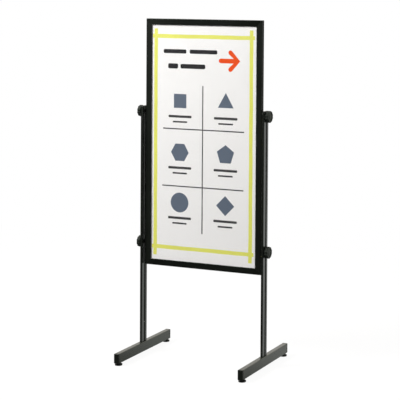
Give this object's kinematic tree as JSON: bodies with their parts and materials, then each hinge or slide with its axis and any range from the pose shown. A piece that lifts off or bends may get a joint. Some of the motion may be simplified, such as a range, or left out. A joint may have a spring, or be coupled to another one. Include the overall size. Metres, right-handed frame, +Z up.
{
  "type": "sign stand",
  "caption": "Free-standing portrait sign holder: a snap-open poster frame clamped between two slotted posts on tube feet, with fluted side knobs for height.",
  "frame": {"origin": "on the floor, midway between the two feet and midway along them", "axes": "+Z up, +X to the right as the sign is read, -Y towards the reader"},
  "size_m": [0.542, 0.4, 1.2695],
  "materials": {
    "frame_metal": "satin black anodised extrusion with fine lengthwise die lines",
    "post_metal": "satin black anodised extrusion, lighter where its flat sides catch the light",
    "foot_metal": "satin dark bronze-black anodised tube",
    "black_plastic": "fine-textured black moulding",
    "knob_plastic": "fine-textured black moulding with a fluted rim",
    "zinc_steel": "bright zinc plating",
    "spring_steel": "polished spring steel",
    "board_white": "off-white rigid foam plastic",
    "poster_print": "matt coated print paper",
    "clear_plastic": "clear anti-glare plastic sheet"
  },
  "bodies": {
    "stand": {"left_foot_tube": "foot_metal", "left_post": "post_metal", "left_post_cap": "black_plastic", "left_front_end_cap": "black_plastic", "left_front_adjuster_nut": "zinc_steel", "left_post_front_screw": "zinc_steel", "left_rear_end_cap": "black_plastic", "left_rear_adjuster_nut": "zinc_steel", "left_post_rear_screw": "zinc_steel", "right_foot_tube": "foot_metal", "right_post": "post_metal", "right_post_cap": "black_plastic", "right_front_end_cap": "black_plastic", "right_front_adjuster_nut": "zinc_steel", "right_post_front_screw": "zinc_steel", "right_rear_end_cap": "black_plastic", "right_rear_adjuster_nut": "zinc_steel", "right_post_rear_screw": "zinc_steel"},
    "sign_panel": {"left_upper_spacer": "black_plastic", "left_upper_channel_nut": "zinc_steel", "left_lower_spacer": "black_plastic", "left_lower_channel_nut": "zinc_steel", "right_upper_spacer": "black_plastic", "right_upper_channel_nut": "zinc_steel", "right_lower_spacer": "black_plastic", "right_lower_channel_nut": "zinc_steel", "frame_left_rail": "frame_metal", "frame_left_corner_bracket": "zinc_steel", "frame_top_rail": "frame_metal", "frame_top_corner_bracket": "zinc_steel", "frame_right_rail": "frame_metal", "frame_right_corner_bracket": "zinc_steel", "frame_bottom_rail": "frame_metal", "frame_bottom_corner_bracket": "zinc_steel", "left_spring_1": "spring_steel", "left_spring_2": "spring_steel", "right_spring_1": "spring_steel", "right_spring_2": "spring_steel", "top_spring": "spring_steel", "bottom_spring": "spring_steel", "cover_sheet": "clear_plastic", "poster_sheet": "poster_print", "backing_board": "board_white"},
    "left_front_adjuster": {"left_front_adjuster": "black_plastic"},
    "left_rear_adjuster": {"left_rear_adjuster": "black_plastic"},
    "left_upper_knob": {"left_upper_knob": "knob_plastic", "left_upper_knob_stud": "zinc_steel"},
    "left_lower_knob": {"left_lower_knob": "knob_plastic", "left_lower_knob_stud": "zinc_steel"},
    "right_front_adjuster": {"right_front_adjuster": "black_plastic"},
    "right_rear_adjuster": {"right_rear_adjuster": "black_plastic"},
    "right_upper_knob": {"right_upper_knob": "knob_plastic", "right_upper_knob_stud": "zinc_steel"},
    "right_lower_knob": {"right_lower_knob": "knob_plastic", "right_lower_knob_stud": "zinc_steel"},
    "snap_left_rail": {"snap_left_rail": "frame_metal"},
    "snap_top_rail": {"snap_top_rail": "frame_metal"},
    "snap_right_rail": {"snap_right_rail": "frame_metal"},
    "snap_bottom_rail": {"snap_bottom_rail": "frame_metal"}
  },
  "joints": [
    {"name": "panel_height", "type": "slide", "parent": "stand", "child": "sign_panel", "axis": [0, 0, 1], "range_m": [-0.3, 0], "stiffness_N_per_m": 20, "springref_m": 1.67},
    {"name": "left_upper_knob_turn", "type": "hinge", "parent": "sign_panel", "child": "left_upper_knob", "pos_m": [-0.27, 0.0025, 0.92], "axis": [-1, 0, 0], "range_deg": [0, 360]},
    {"name": "left_lower_knob_turn", "type": "hinge", "parent": "sign_panel", "child": "left_lower_knob", "pos_m": [-0.27, 0.0025, 0.425], "axis": [-1, 0, 0], "range_deg": [0, 360]},
    {"name": "right_upper_knob_turn", "type": "hinge", "parent": "sign_panel", "child": "right_upper_knob", "pos_m": [0.27, 0.0025, 0.92], "axis": [1, 0, 0], "range_deg": [0, 360]},
    {"name": "right_lower_knob_turn", "type": "hinge", "parent": "sign_panel", "child": "right_lower_knob", "pos_m": [0.27, 0.0025, 0.425], "axis": [1, 0, 0], "range_deg": [0, 360]},
    {"name": "snap_left_hinge", "type": "hinge", "parent": "sign_panel", "child": "snap_left_rail", "pos_m": [-0.2377, -0.0057, 0.8055], "axis": [0, 0, -1], "range_deg": [0, 90], "stiffness_Nm_per_rad": 0.05},
    {"name": "snap_right_hinge", "type": "hinge", "parent": "sign_panel", "child": "snap_right_rail", "pos_m": [0.2377, -0.0057, 0.8055], "axis": [0, 0, 1], "range_deg": [0, 90], "stiffness_Nm_per_rad": 0.05},
    {"name": "snap_top_hinge", "type": "hinge", "parent": "sign_panel", "child": "snap_top_rail", "pos_m": [0, -0.0057, 1.2682], "axis": [-1, 0, 0], "range_deg": [0, 90], "stiffness_Nm_per_rad": 0.05},
    {"name": "snap_bottom_hinge", "type": "hinge", "parent": "sign_panel", "child": "snap_bottom_rail", "pos_m": [0, -0.0057, 0.3428], "axis": [1, 0, 0], "range_deg": [0, 90], "stiffness_Nm_per_rad": 0.05},
    {"name": "left_front_adjuster_screw", "type": "slide", "parent": "stand", "child": "left_front_adjuster", "axis": [0, 0, -1], "range_m": [0, 0.01]},
    {"name": "left_rear_adjuster_screw", "type": "slide", "parent": "stand", "child": "left_rear_adjuster", "axis": [0, 0, -1], "range_m": [0, 0.01]},
    {"name": "right_front_adjuster_screw", "type": "slide", "parent": "stand", "child": "right_front_adjuster", "axis": [0, 0, -1], "range_m": [0, 0.01]},
    {"name": "right_rear_adjuster_screw", "type": "slide", "parent": "stand", "child": "right_rear_adjuster", "axis": [0, 0, -1], "range_m": [0, 0.01]}
  ]
}
